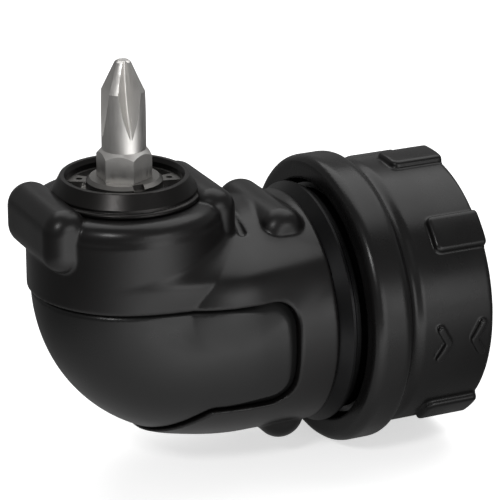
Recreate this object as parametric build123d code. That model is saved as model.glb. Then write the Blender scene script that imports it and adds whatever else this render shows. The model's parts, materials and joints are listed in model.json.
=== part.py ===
from build123d import *
import math
import os

# Right angle attachment for a compact drill, in millimetres.
# The origin is the centre of the drive mouth, +X points out of it towards the drill,
# and the screwdriver bit stands along +Z.

# Layout
mouth_x = 0.0
head_x = -45.4                # spindle axis, where both bevel gear cones have their tip
neck_end_x = -21.8            # the gear case and its cover end here
head_radius = 13.0
neck_radius = 15.7
shoulder_z = neck_radius + 1.25     # the head's wall runs up to here, into its shoulder
shoulder_bead = 1.95
lip_z = shoulder_z + shoulder_bead  # the lip of the nose sleeve rests here on the cover

# Ball bearings
spindle_bearing_bore = 5.0
spindle_bearing_radius = 7.5
spindle_bearing_width = 4.0
spindle_bearing_top = lip_z + 0.9
spindle_ball_radius = 0.7
spindle_ball_count = 10
shaft_bearing_bore = 5.0
shaft_bearing_radius = 9.5
shaft_bearing_width = 5.0
shaft_bearing_front = 11.2    # from the spindle axis
shaft_ball_radius = 1.3
shaft_ball_count = 8
ball_gap = 0.02
race_share = 0.28             # thickness of each ring over the room between bore and outside
seal_thickness = 0.35
seal_drop = 0.15              # below the top of the bearing
running_gap = 0.04

# Nose sleeve, turned round the spindle bearing
nose_radius = spindle_bearing_radius + 1.5    # where the case grips it
nose_seat_z = lip_z - 4.5
seat_ledge = 0.9              # carries the outer ring of the bearing
lip_radius = nose_radius + 0.9
lip_thickness = 0.7
lip_edge = 0.3
cone_radius = nose_radius + 0.4
cone_foot = 0.4               # straight part under the cone
rim_radius = spindle_bearing_radius + 0.9
rim_z = lip_z + 3.0
opening_radius = spindle_bearing_radius + 0.35
opening_depth = 0.6

# Rubber cover
cover_wall = 1.6
cover_gap = 0.05              # round the nose sleeve
shoulder_ring_radius = head_radius - shoulder_bead
neck_dome_length = 14.0       # the neck swells to its full radius over this length
neck_dome_end_x = head_x + head_radius
elbow_pivot = (9.0, 5.7)      # from the crossing of the axes, along X and Z
elbow_end_reach = elbow_pivot[1] + neck_radius - 0.5    # from that pivot to the skin below it
elbow_end_round = neck_radius - 0.9
elbow_reach_share = (0.73, 1.0, 1.0)    # how much of the change from head to end has come
elbow_round_share = (0.22, 0.72, 1.0)   # in reach and in roundness at 30, 60 and 90 degrees
elbow_chord = 0.3             # the cross-sections stop this short of the pivot
head_blend = 5.0              # rounding where the head runs into the neck

# Screw bosses, which run across the case along Y
boss_radius = 2.9
boss_post_radius = 2.0
head_boss_x = (-11.0, 9.9)    # from the spindle axis
head_boss_z = shoulder_z + 0.45
head_boss_half = 5.1          # from the middle plane to the centre of the round end
neck_boss_x = 19.3
neck_boss_z = 12.6
neck_boss_half = 7.6
web_low_z = head_boss_z - 5.4
web_low_radius = 0.8
web_top_radius = 2.7
web_foot_reach = 12.7         # from the spindle axis to the middle of its foot

# Elbow guard, set into its window in the cover
guard_depth = 0.5             # how far it lies below the skin of the cover
guard_gap = 0.1
guard_end_x = 18.0            # these four are measured from the crossing of the axes
guard_top_z = 6.7
guard_low_z = -8.1
guard_heel_x = 0.5
guard_corner = 3.6
guard_rise = 0.6              # its top edge climbs by this towards the front
guard_heel_length = 6.2
guard_heel_corner = 1.5
guard_heel_drop = 5.0
guard_heel_lean = 3.0
guard_far = 22.0              # beyond the skin on every side

# Gear case
chamber_radius = 10.0
chamber_floor_z = 3.6
chamber_side_x = 3.6
bearing_land = 1.0            # ledge in front of the shaft bearing
stub_room = 0.6               # round the end of the spindle's stub

# Retaining ring over the spindle bearing
ring_thickness = 0.8
ring_depth = 0.5
ring_width = 0.9
ring_start_angle = -14.0
ring_end_angle = 150.0
ear_reach = 5.1
ear_half_angle = 11.0
ear_hole_radius = 0.42
ear_hole_inset = 0.35         # from the middle of the eyelet towards the spindle

# Spindle
spindle_top = rim_z - 0.3
spindle_chamfer = 0.45
spindle_notch = (1.5, 1.7, 1.3)     # width, depth and height of the slot in its rim
collar_radius = 5.7
collar_height = 0.8
spindle_waist_radius = 5.0
stub_radius = 2.5
stub_end_z = -7.2
stub_edge = 0.4
bush_wall = 2.0
bush_top_z = -2.6
bush_length = 4.8

# Bevel gears
tooth_count = 16
gear_pitch_radius = 8.6
gear_face = 4.0
gear_bore = 4.0
tooth_share = 0.41            # tooth thickness over the tooth pitch
pressure_angle = 20.0
addendum_share = 0.9          # height of the tooth above the pitch cone, in modules
dedendum_share = 1.2          # depth of the tooth below it
tooth_root = 0.1              # sunk into the blank
hub_back = 10.3
gear_seat = 0.6               # the shafts reach this far past the small end of the gears

# Hex drive
hex_flats = 6.35
hex_corner = hex_flats / math.sqrt(3)
hex_gap = 0.04
socket_floor_z = spindle_top - 9.5
magnet_radius = 3.0
magnet_length = 3.0

# Screwdriver bit
bit_bottom_z = socket_floor_z + 0.1
bit_hex_top = bit_bottom_z + 12.3
bit_length = 25.0
bit_shank_radius = 2.9
bit_foot = (0.5, 0.55)        # chamfer at its lower end, across and along
bit_hex_chamfer = 0.9
bit_corner_gap = 0.05         # the turning passes this far outside the hexagon's corners
bit_point_radius = 1.05
bit_point_edge = (0.3, 0.2)   # blunt edge of the point, across and along
bit_wing_z = bit_bottom_z + 21.0
flute_angle = 86.6            # of the first of the four flutes, from +X
flute_core_radius = 0.62      # what the flutes leave at the point
flute_wheel_radius = 24.4     # of the wheel that grinds them
flute_half_angle = 46.0
flute_bottom_radius = 0.15
flute_reach = 4.0             # depth of the wheel's rim, larger than the bit's radius

# Input shaft
shaft_waist_radius = 4.8
shaft_shoulder = 1.0          # step in front of the bearing
hex_start_x = -20.4
hex_root = 1.6                # the round part ends this far past the start of the hexagon
hex_end_x = -6.0
hex_chamfer = 0.6
groove_x = -11.0
groove_radius = 2.75
groove_half = 1.2
clip_thickness = 0.8
clip_seat_radius = 4.3
clip_radius = 6.2
clip_mouth = 4.4
rear_bush_gap = 2.2           # behind the shaft bearing
rear_bush_radius = 7.5
rear_bush_flange = 8.4
rear_bush_flange_thickness = 1.0

# Mounting sleeve
pilot_radius = 13.0
pilot_length = 5.0
sleeve_plate = 1.4
sleeve_bore = pilot_radius - 0.4
sleeve_radius = pilot_radius + 1.6
plate_corner = 1.0
sleeve_screw_count = 4

# Screws
case_screw_radius = 0.9
case_screw_head = 1.65
case_screw_head_height = 1.3
case_screw_end = 1.2          # blind end, from the end of its post
sleeve_screw_radius = 1.0
sleeve_screw_head = 1.9
sleeve_screw_head_height = 1.5
sleeve_screw_length = 6.0
sleeve_screw_circle = sleeve_bore - sleeve_screw_head - 0.3
driver_recess = 0.55
driver_arm = (1.1, 0.3)       # length and width of the recess, in head radii

# Front ring, between the neck and the release collar
front_ring_radius = sleeve_radius + 1.8
front_ring_nose = sleeve_radius + 0.4
front_ring_length = 3.0
front_ring_cone = 1.7
front_ring_land = 0.35        # flat on its edge
front_ring_step = 0.5         # behind the edge it is smaller by this

# Release collar
collar_front_x = -18.3
collar_rear_x = -0.1
spring_room_radius = sleeve_radius + 2.5
spring_room_end_x = -13.4
waist_radius = spring_room_radius + 0.5
waist_run = 1.2               # the flange's rear slope, along the axis
waist_round = 0.9
grip_radius = waist_radius + 0.6
grip_start_x = -10.6
grip_round = 1.2
flange_radius = grip_radius + 1.5
flange_width = 5.0
flange_edge = 1.3
skirt_radius = sleeve_radius + 1.3
collar_edge = 0.6
inner_edge = 0.3
pad_height = 0.85
pad_length = 7.6
pad_half_angle = 8.0
pad_edge = 0.5
pad_corner = 1.0
pad_root = 0.6                # sunk into the grip
pad_angles = (2.0, 49.0, 138.0, 182.0, 229.0, 318.0)
mark_angle = 95.5
mark_arm = 2.9
mark_stroke = 0.87
mark_half_angle = 52.0
mark_height = 0.6
mark_root = 1.0               # sunk into the grip
mark_point_round = 0.6
mark_end_round = 0.3
mark_x = (-6.6, -3.6)

# Lock balls
lock_ball_radius = 1.6
lock_ball_x = -7.2
lock_ball_angles = (60.0, 180.0, 300.0)
lock_ball_gap = 0.05
lock_travel = 1.2
release_angle = 30.0
scoop_radius = 10.0
scoop_gap = 0.2

# Torsion spring and snap ring
spring_wire = (0.9, 0.7)      # of the flat wire, across and along the axis
spring_pitch = 1.15
spring_turns = 2.4
spring_coil_radius = sleeve_radius + 0.85
spring_start_x = -17.0
snap_ring_x = -2.6
snap_ring_thickness = 0.9
snap_ring_room = 0.2          # between the ring and the collar
snap_ring_groove = sleeve_radius - 0.5
snap_ring_radius = sleeve_radius + 0.7
snap_ring_opening = 24.0
snap_ring_mouth = 5.0


def rounded_face(corners, plane):
    """Closed outline in a plane; each corner is (across, up, corner radius)."""
    points = [(across, up) for across, up, _ in corners]
    outline = make_face(Polyline(*points, close=True))
    for across, up, corner in corners:
        if corner > 0:
            nearest = outline.vertices().sort_by_distance(Vector(across, up, 0))[0]
            outline = fillet(nearest, corner)
    return plane * outline


def turned_z(corners):
    """Body turned about the spindle axis from (radius, z, corner radius) points."""
    return Pos(head_x, 0, 0) * revolve(rounded_face(corners, Plane.XZ), Axis.Z)


def turned_x(corners):
    """Body turned about the drive axis from (x, radius, corner radius) points."""
    return revolve(rounded_face(corners, Plane.XY), Axis.X)


def rod_y(radius, x, z, low_y, high_y):
    """Plain round bar along Y."""
    return Pos(x, low_y, z) * Rot(-90, 0, 0) * extrude(Circle(radius), high_y - low_y)


def rod_x(radius, low_x, high_x, y=0.0, z=0.0):
    """Plain round bar along X."""
    return Pos(low_x, y, z) * Rot(0, 90, 0) * extrude(Circle(radius), high_x - low_x)


def rod_z(radius, low_z, high_z, x=head_x, y=0.0):
    """Plain round bar along Z."""
    return Pos(x, y, low_z) * extrude(Circle(radius), high_z - low_z)


def elbow(inset):
    """The bend between head and neck, lofted through round sections about the pivot."""
    pivot_x, pivot_z = elbow_pivot
    start = pivot_x + head_radius
    reaches = [start + share * (elbow_end_reach - start) for share in (0,) + elbow_reach_share]
    growth = elbow_end_round - head_radius
    rounds = [head_radius + share * growth for share in (0,) + elbow_round_share]
    sections = []
    for step, (section_round, reach) in enumerate(zip(rounds, reaches)):
        angle = math.radians(30.0 * step)
        outward = Vector(-math.cos(angle), 0, -math.sin(angle))
        travel = Vector(-math.sin(angle), 0, math.cos(angle))
        plane = Plane(origin=(head_x + pivot_x, 0, pivot_z), x_dir=outward, z_dir=travel)
        disc = Pos(reach - section_round, 0) * Circle(section_round - inset)
        keep = Pos(elbow_chord, -2 * reach) * Rectangle(2 * reach, 4 * reach, align=Align.MIN)
        sections.append(plane * (disc & keep).faces()[0])
    return loft(sections)


def neck(inset):
    """Neck along the drive axis, with a long domed end inside the head."""
    radius = neck_radius - inset
    length = neck_dome_length - inset
    dome = Plane.XY * make_face(
        [
            EllipticalCenterArc((neck_dome_end_x, 0), length, radius, 90, arc_size=90),
            Line((neck_dome_end_x - length, 0), (neck_end_x, 0)),
            Line((neck_end_x, 0), (neck_end_x, radius)),
            Line((neck_end_x, radius), (neck_dome_end_x, radius)),
        ]
    )
    return revolve(dome, Axis.X)


def shoulder(inset):
    """Soft round shoulder of the head, which carries the lip of the nose sleeve."""
    bead = Torus(shoulder_ring_radius, shoulder_bead - inset)
    disc = rod_z(shoulder_ring_radius, nose_seat_z, lip_z - inset)
    return disc + Pos(head_x, 0, shoulder_z) * bead


def housing(inset):
    """Outer form of head, elbow and neck, taken in by a skin thickness."""
    upper = rod_z(head_radius - inset, elbow_pivot[1], rim_z + head_blend) + neck(inset)
    seams = [
        edge
        for edge in upper.edges().filter_by(GeomType.BSPLINE)
        if edge.bounding_box().size.Z > shoulder_bead
    ]
    upper = fillet(seams, head_blend)
    upper = split(upper, bisect_by=Plane.XY.offset(shoulder_z), keep=Keep.BOTTOM)
    return upper + shoulder(inset) + elbow(inset)


def boss_places():
    """Centre x, centre z and half length of every screw boss."""
    places = [(head_x + offset, head_boss_z, head_boss_half) for offset in head_boss_x]
    for side in (1, -1):
        places.append((head_x + neck_boss_x, side * neck_boss_z, neck_boss_half))
    return places


def boss_covers():
    """Round-ended rolls of rubber over the screw bosses, with webs that run down the wall."""
    rolls = [boss_roll(x, z, half) for x, z, half in boss_places()]
    for offset in head_boss_x:
        for side in (-1, 1):
            rolls.append(boss_web(head_x + offset, side * head_boss_half))
    return rolls


def boss_roll(x, z, half):
    """Round bar along Y with domed ends."""
    end = half + boss_radius
    outline = make_face(
        [
            Line((0, -end), (0, end)),
            RadiusArc((0, end), (boss_radius, half), boss_radius),
            Line((boss_radius, half), (boss_radius, -half)),
            RadiusArc((boss_radius, -half), (0, -end), boss_radius),
        ]
    )
    return Pos(x, 0, z) * revolve(outline, Axis.Y)


def boss_web(x, y):
    """Tapering web under the end of a head boss."""
    stretch = web_foot_reach / math.hypot(x - head_x, y)
    top = Pos(x, y, head_boss_z) * Circle(web_top_radius)
    low = Pos(head_x + (x - head_x) * stretch, y * stretch, web_low_z) * Circle(web_low_radius)
    return loft([low.faces()[0], top.faces()[0]])


def boss_posts():
    """Metal posts of the gear case, which carry the case screws."""
    posts = Part()
    for x, z, half in boss_places():
        posts += rod_y(boss_post_radius, x, z, -half, half)
    return posts


def guard_outline(grow):
    """Side view of the elbow guard's window, cut right through along Y."""
    end_x = head_x + guard_end_x
    heel_x = head_x + guard_heel_x
    corners = [
        (head_x - guard_far, guard_top_z + guard_rise, 0),
        (end_x, guard_top_z, guard_corner),
        (end_x, guard_low_z, guard_corner),
        (heel_x + guard_heel_length, guard_low_z, guard_heel_corner),
        (heel_x, guard_low_z - guard_heel_drop, 0),
        (heel_x - guard_heel_lean, -guard_far, 0),
        (head_x - guard_far, -guard_far, 0),
    ]
    window = rounded_face(corners, Plane.XZ)
    if grow:
        window = offset(window, grow)
    return extrude(window, 2 * neck_radius, both=True)


def nose_opening(gap):
    """Room for the nose sleeve through the top of the housing."""
    return rod_z(nose_radius + gap, nose_seat_z, rim_z) + rod_z(lip_radius + gap, lip_z, rim_z)


def housing_layers():
    """Cover, elbow guard and the metal form of the gear case."""
    skin = housing(0.0)
    for roll in boss_covers():
        skin += roll
    core = housing(cover_wall) + boss_posts()
    core -= nose_opening(0.0)
    cover = skin - nose_opening(cover_gap) - housing(cover_wall) - boss_posts()
    window = guard_outline(0.0)
    guard = (housing(guard_depth) - housing(cover_wall)) & guard_outline(-guard_gap)
    cover -= window
    return cover, guard, core


def gear_case_halves(core):
    """Two die-cast halves that meet on the middle plane."""
    side = head_x + chamber_side_x
    bearing_start = head_x + shaft_bearing_front
    bearing_end = bearing_start + shaft_bearing_width
    room = rod_z(chamber_radius, chamber_floor_z, nose_seat_z)
    room += rod_x(chamber_radius, side, bearing_start - bearing_land)
    room += rod_z(nose_radius, nose_seat_z, lip_z)
    room += rod_z(stub_radius + stub_room, stub_end_z - stub_room, chamber_floor_z)
    room += rod_z(stub_radius + bush_wall, bush_top_z - bush_length, bush_top_z)
    room += rod_x(shaft_bearing_radius - bearing_land, side, bearing_start)
    room += rod_x(shaft_bearing_radius, bearing_start, bearing_end)
    room += rod_x(rear_bush_radius, bearing_end, neck_end_x)
    room += case_screw_cuts()
    room += sleeve_screw_cuts()
    body = core - room
    left = split(body, bisect_by=Plane.XZ, keep=Keep.TOP)
    right = split(body, bisect_by=Plane.XZ, keep=Keep.BOTTOM)
    return left, right


def case_screw(x, z, half):
    """Screw along Y: head on the +Y side, shank reaching into the -Y half."""
    head_low = half - case_screw_head_height
    screw = rod_y(case_screw_head, x, z, head_low, half)
    screw += rod_y(case_screw_radius, x, z, case_screw_end - half, head_low)
    return screw


def case_screw_cuts():
    """Holes of the case screws, with their counterbores."""
    cuts = Part()
    for x, z, half in boss_places():
        cuts += case_screw(x, z, half)
    return cuts


def case_screws():
    """The four case screws, each with a cross recess."""
    screws = []
    for x, z, half in boss_places():
        recess = Pos(x, half - driver_recess / 2, z) * cross_recess(case_screw_head)
        screws.append(case_screw(x, z, half) - recess)
    return Compound(children=[screw.solids()[0] for screw in screws])


def cross_recess(head_size):
    """Cross-shaped recess sunk along Y."""
    length, width = driver_arm
    arm = Box(head_size * length, driver_recess, head_size * width)
    return arm + Rot(0, 90, 0) * arm


def sleeve_screw_places():
    """Angles of the screws that hold the mounting sleeve, from +Z."""
    turn = 360.0 / sleeve_screw_count
    return [turn * (number + 0.5) for number in range(sleeve_screw_count)]


def sleeve_screw(angle):
    """Screw along X through the sleeve's plate into the gear case."""
    seat_x = neck_end_x + sleeve_plate
    screw = rod_x(sleeve_screw_head, seat_x, seat_x + sleeve_screw_head_height)
    screw += rod_x(sleeve_screw_radius, neck_end_x - sleeve_screw_length, seat_x)
    turn = Rot(angle, 0, 0)
    return turn * Pos(0, 0, sleeve_screw_circle) * screw


def sleeve_screw_cuts():
    """Holes of the sleeve screws."""
    cuts = Part()
    for angle in sleeve_screw_places():
        cuts += sleeve_screw(angle)
    return cuts


def sleeve_screws():
    """The screws of the mounting sleeve, each with a cross recess."""
    recess_x = neck_end_x + sleeve_plate + sleeve_screw_head_height - driver_recess / 2
    screws = []
    for angle in sleeve_screw_places():
        recess = Rot(angle, 0, 0) * Pos(recess_x, 0, sleeve_screw_circle) * Rot(0, 0, 90)
        screws.append(sleeve_screw(angle) - recess * cross_recess(sleeve_screw_head))
    return Compound(children=[screw.solids()[0] for screw in screws])


def nose_sleeve():
    """Turned nose: carries the spindle bearing and the groove of its retaining ring."""
    bearing_low = spindle_bearing_top - spindle_bearing_width
    return turned_z(
        [
            (spindle_bearing_radius - seat_ledge, nose_seat_z, 0),
            (nose_radius, nose_seat_z, lip_edge),
            (nose_radius, lip_z, 0),
            (lip_radius, lip_z, lip_edge),
            (lip_radius, lip_z + lip_thickness, lip_edge),
            (cone_radius, lip_z + lip_thickness, lip_edge / 2),
            (cone_radius, lip_z + lip_thickness + cone_foot, lip_edge / 2),
            (rim_radius, rim_z, lip_edge / 2),
            (opening_radius, rim_z, lip_edge / 3),
            (spindle_bearing_radius, rim_z - opening_depth, 0),
            (spindle_bearing_radius, spindle_bearing_top + ring_thickness, 0),
            (spindle_bearing_radius + ring_depth, spindle_bearing_top + ring_thickness, 0),
            (spindle_bearing_radius + ring_depth, spindle_bearing_top, 0),
            (spindle_bearing_radius, spindle_bearing_top, 0),
            (spindle_bearing_radius, bearing_low, 0),
            (spindle_bearing_radius - seat_ledge, bearing_low, 0),
        ]
    )


def sector(low_angle, high_angle, radius, low_z, high_z):
    """Wedge of a disc about the spindle axis."""
    arc = CenterArc((0, 0), radius, low_angle, high_angle - low_angle)
    wedge = make_face([arc, Line((0, 0), arc @ 0), Line(arc @ 1, (0, 0))])
    return Pos(head_x, 0, low_z) * extrude(wedge, high_z - low_z)


def retaining_ring():
    """Open ring in the nose groove, with an eyelet at each end."""
    low = spindle_bearing_top
    high = low + ring_thickness
    outer = spindle_bearing_radius + ring_depth
    band = rod_z(outer, low, high) - rod_z(outer - ring_width, low, high)
    ring = band & sector(ring_start_angle, ring_end_angle, 2 * outer, low, high)
    for angle, way in ((ring_start_angle, 1), (ring_end_angle, -1)):
        first, last = sorted((angle, angle + way * 2 * ear_half_angle))
        ear = rod_z(outer, low, high) - rod_z(ear_reach, low, high)
        ear = ear & sector(first, last, 2 * outer, low, high)
        middle = math.radians((first + last) / 2)
        hole_reach = (ear_reach + outer) / 2 - ear_hole_inset
        hole_x = head_x + hole_reach * math.cos(middle)
        ring += ear
        ring -= rod_z(ear_hole_radius, low, high, hole_x, hole_reach * math.sin(middle))
    return ring


def bearing_rings(bore, radius, ball, low, high, turned):
    """Outer ring and inner ring of a ball bearing, grooved for its balls."""
    track = (bore + radius) / 2
    wall = (radius - bore) * race_share
    groove = Torus(track, ball + ball_gap)
    outer = [(low, radius), (high, radius), (high, radius - wall), (low, radius - wall)]
    inner = [(low, bore), (high, bore), (high, bore + wall), (low, bore + wall)]
    middle = (low + high) / 2
    if turned == "z":
        groove = Pos(head_x, 0, middle) * groove
        rings = [turned_z([(r, along, 0) for along, r in ring]) for ring in (outer, inner)]
    else:
        groove = Pos(middle, 0, 0) * Rot(0, 90, 0) * groove
        rings = [turned_x([(along, r, 0) for along, r in ring]) for ring in (outer, inner)]
    return rings[0] - groove, rings[1] - groove


def ball_set(count, track, ball, place):
    """Balls evenly spaced on a circle."""
    balls = []
    for number in range(count):
        angle = math.radians(360.0 * number / count)
        spot = Pos(track * math.cos(angle), track * math.sin(angle), 0)
        balls.append((place * spot * Sphere(ball)).solids()[0])
    return Compound(children=balls)


def spindle_seal():
    """Rubber seal disc over the balls of the spindle bearing."""
    wall = (spindle_bearing_radius - spindle_bearing_bore) * race_share
    high = spindle_bearing_top - seal_drop
    low = high - seal_thickness
    return turned_z(
        [
            (spindle_bearing_bore + wall + running_gap, low, 0),
            (spindle_bearing_radius - wall, low, 0),
            (spindle_bearing_radius - wall, high, 0),
            (spindle_bearing_bore + wall + running_gap, high, 0),
        ]
    )


def hex_bar(flats, low, high):
    """Hexagonal bar along Z, turned the same way as the bit's flutes."""
    hexagon = RegularPolygon(flats / 2, 6, major_radius=False, rotation=flute_angle)
    return Pos(head_x, 0, low) * extrude(hexagon, high - low)


def spindle():
    """Output spindle: hexagonal socket on top, gear seat and stub shaft below."""
    seat = spindle_bearing_top - spindle_bearing_width
    body = turned_z(
        [
            (0, stub_end_z, 0),
            (stub_radius, stub_end_z, stub_edge),
            (stub_radius, gear_small_end() - gear_seat, 0),
            (gear_bore, gear_small_end() - gear_seat, 0),
            (gear_bore, hub_back, 0),
            (spindle_waist_radius, hub_back, 0),
            (spindle_waist_radius, seat - collar_height, 0),
            (collar_radius, seat - collar_height, 0),
            (collar_radius, seat, 0),
            (spindle_bearing_bore, seat, 0),
            (spindle_bearing_bore, spindle_top - spindle_chamfer, 0),
            (spindle_bearing_bore - spindle_chamfer, spindle_top, 0),
            (0, spindle_top, 0),
        ]
    )
    body -= hex_bar(hex_flats + 2 * hex_gap, socket_floor_z, spindle_top)
    body -= rod_z(magnet_radius, socket_floor_z - magnet_length, socket_floor_z)
    notch = Pos(head_x, -spindle_bearing_bore, spindle_top) * Box(*spindle_notch)
    return body - notch


def gear_small_end():
    """Distance from the cone tip to the small end of the gears' pitch cone."""
    cone = gear_pitch_radius * math.sqrt(2)
    return gear_pitch_radius * (cone - gear_face) / cone


def bevel_gear(phase):
    """Straight bevel gear for a square drive, its cone tip at the origin and its axis +Z."""
    module = 2 * gear_pitch_radius / tooth_count
    half = math.radians(45)
    large = gear_pitch_radius * math.sqrt(2)
    small = large - gear_face
    addendum = addendum_share * module
    dedendum = dedendum_share * module
    root = dedendum + tooth_root

    def cone_point(cone, height):
        """Point at a cone distance, raised off the pitch cone square to it."""
        return (cone * math.sin(half) + height * math.cos(half),
                cone * math.cos(half) - height * math.sin(half))

    shrink = small / large
    root_large = cone_point(large, -dedendum)
    root_small = (root_large[0] * shrink, root_large[1] * shrink)
    blank = revolve(
        Plane.XZ * make_face(
            Polyline(
                (gear_bore, root_small[1]),
                root_small,
                root_large,
                (root_large[0], hub_back),
                (gear_bore, hub_back),
                close=True,
            )
        ),
        Axis.Z,
    )
    pitch = 2 * math.pi * gear_pitch_radius / tooth_count
    slope = math.tan(math.radians(pressure_angle))
    half_pitch = tooth_share * pitch / 2
    half_tip = half_pitch - addendum * slope
    half_root = half_pitch + root * slope
    teeth = Part()
    end_faces = []
    for scale in (shrink, 1.0):
        corners = []
        for height, width in ((-root, half_root), (0.0, half_pitch), (addendum, half_tip)):
            radius, z = cone_point(large, height)
            corners.append((radius * scale, width * scale, z * scale))
        ring = [(r, w, z) for r, w, z in corners] + [(r, -w, z) for r, w, z in reversed(corners)]
        end_faces.append(Face(Wire(Polyline(*ring, close=True).edges())))
    tooth = loft(end_faces, ruled=True)
    for number in range(tooth_count):
        teeth += Rot(0, 0, 360.0 * (number + phase) / tooth_count) * tooth
    return blank + teeth


def output_gear():
    """Bevel gear pressed on the spindle."""
    return Pos(head_x, 0, 0) * bevel_gear(0.0)


def pinion():
    """Bevel gear on the input shaft, half a tooth round from the output gear."""
    return Pos(head_x, 0, 0) * Rot(0, 90, 0) * bevel_gear(0.5)


def plain_bush(bore, wall, low, high):
    """Bronze bush of the spindle's stub."""
    return rod_z(bore + wall, low, high) - rod_z(bore, low, high)


def rear_bush():
    """Flanged bronze bush behind the input shaft's bearing."""
    low = head_x + shaft_bearing_front + shaft_bearing_width + rear_bush_gap
    bore = shaft_waist_radius + running_gap
    plate_end = neck_end_x + sleeve_plate
    high = plate_end + rear_bush_flange_thickness
    return turned_x(
        [
            (low, bore, 0),
            (low, rear_bush_radius, inner_edge),
            (plate_end, rear_bush_radius, 0),
            (plate_end, rear_bush_flange, 0),
            (high, rear_bush_flange, inner_edge),
            (high, bore, 0),
        ]
    )


def drive_shaft():
    """Input shaft: gear seat, bearing journal, then a hexagonal drive end."""
    shoulder = head_x + shaft_bearing_front
    journal_end = shoulder + shaft_bearing_width
    front = head_x + gear_small_end() - gear_seat
    waist_end = hex_start_x + hex_root
    shaft = turned_x(
        [
            (front, 0, 0),
            (front, gear_bore, inner_edge),
            (head_x + hub_back, gear_bore, 0),
            (head_x + hub_back, shaft_bearing_bore + shaft_shoulder, 0),
            (shoulder, shaft_bearing_bore + shaft_shoulder, 0),
            (shoulder, shaft_bearing_bore, 0),
            (journal_end, shaft_bearing_bore, 0),
            (journal_end, clip_seat_radius, 0),
            (journal_end + clip_thickness, clip_seat_radius, 0),
            (journal_end + clip_thickness, shaft_waist_radius, 0),
            (waist_end, shaft_waist_radius, stub_edge),
            (waist_end, 0, 0),
        ]
    )
    hexagon = RegularPolygon(hex_flats / 2, 6, major_radius=False)
    length = hex_end_x - hex_start_x
    bar = Pos(hex_start_x, 0, 0) * Rot(0, 90, 0) * extrude(hexagon, length)
    outside = hex_corner + hex_gap
    trim = turned_x(
        [
            (hex_start_x, 0, 0),
            (hex_start_x, outside, 0),
            (groove_x - groove_half, outside, 0),
            (groove_x, groove_radius, inner_edge),
            (groove_x + groove_half, outside, 0),
            (hex_end_x - hex_chamfer, outside, 0),
            (hex_end_x, hex_corner - hex_chamfer, 0),
            (hex_end_x, 0, 0),
        ]
    )
    return shaft + (bar & trim)


def shaft_clip():
    """Open clip that holds the input shaft in its bearing."""
    low = head_x + shaft_bearing_front + shaft_bearing_width
    ring = rod_x(clip_radius, low, low + clip_thickness)
    ring -= rod_x(clip_seat_radius, low, low + clip_thickness)
    mouth = Box(clip_thickness, clip_mouth, 2 * clip_seat_radius)
    return ring - Pos(low + clip_thickness / 2, 0, -clip_radius) * mouth


def screwdriver_bit():
    """Cross-tip insert bit: hexagonal shank, round neck, ground flutes that run out up the neck."""
    tip_z = bit_bottom_z + bit_length
    outside = hex_corner + bit_corner_gap
    foot_across, foot_along = bit_foot
    edge_across, edge_along = bit_point_edge
    turned = turned_z(
        [
            (0, bit_bottom_z, 0),
            (hex_corner - foot_across, bit_bottom_z, 0),
            (outside, bit_bottom_z + foot_along, 0),
            (outside, bit_hex_top, 0),
            (bit_shank_radius, bit_hex_top + bit_hex_chamfer, 0),
            (bit_shank_radius, bit_wing_z, 0),
            (bit_point_radius, tip_z - edge_along, 0),
            (bit_point_radius - edge_across, tip_z, 0),
            (0, tip_z, 0),
        ]
    )
    shank = hex_bar(hex_flats, bit_bottom_z, bit_hex_top + bit_hex_chamfer)
    upper = rod_z(bit_shank_radius, bit_hex_top, tip_z)
    blank = turned & (shank + upper)
    for number in range(4):
        blank -= Pos(head_x, 0, tip_z) * Rot(0, 0, 90.0 * number + flute_angle) * grinding_wheel()
    return blank


def grinding_wheel():
    """Wheel with a V-shaped rim that grinds one flute, deepest at the bit's point."""
    half = flute_reach * math.tan(math.radians(flute_half_angle))
    rim = rounded_face(
        [
            (flute_core_radius, 0, flute_bottom_radius),
            (flute_core_radius + flute_reach, half, 0),
            (flute_core_radius + flute_reach, -half, 0),
        ],
        Plane.XY,
    )
    centre = Vector(flute_core_radius + flute_wheel_radius, 0, 0)
    return revolve(rim, Axis(centre, (0, 1, 0)))


def bit_magnet():
    """Small magnet at the bottom of the socket."""
    return rod_z(magnet_radius, socket_floor_z - magnet_length, socket_floor_z)


def mounting_sleeve():
    """Steel sleeve: plate screwed to the gear case, tube that takes the drill's nose."""
    plate_end = neck_end_x + sleeve_plate
    sleeve = turned_x(
        [
            (neck_end_x, rear_bush_radius, 0),
            (neck_end_x, sleeve_radius, 0),
            (snap_ring_x - snap_ring_thickness / 2, sleeve_radius, 0),
            (snap_ring_x - snap_ring_thickness / 2, snap_ring_groove, 0),
            (snap_ring_x + snap_ring_thickness / 2, snap_ring_groove, 0),
            (snap_ring_x + snap_ring_thickness / 2, sleeve_radius, 0),
            (mouth_x, sleeve_radius, inner_edge),
            (mouth_x, pilot_radius, 0),
            (mouth_x - pilot_length, pilot_radius, 0),
            (mouth_x - pilot_length, sleeve_bore, 0),
            (plate_end, sleeve_bore, plate_corner),
            (plate_end, rear_bush_radius, 0),
        ]
    )
    sleeve -= sleeve_screw_cuts()
    for angle in lock_ball_angles:
        hole = extrude(Circle(lock_ball_radius + lock_ball_gap), sleeve_radius)
        sleeve -= Rot(angle, 0, 0) * Pos(lock_ball_x, 0, sleeve_bore / 2) * hole
    return sleeve


def front_ring():
    """Thin-edged ring that closes the gap between neck and collar."""
    end = neck_end_x + front_ring_length
    edge = neck_end_x + front_ring_cone
    low = front_ring_radius - front_ring_step
    return turned_x(
        [
            (neck_end_x, sleeve_radius, 0),
            (neck_end_x, front_ring_nose, 0),
            (edge, front_ring_radius, 0),
            (edge + front_ring_land, front_ring_radius, 0),
            (edge + 2 * front_ring_land, low, 0),
            (end, low, 0),
            (end, sleeve_radius, 0),
        ]
    )


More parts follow.
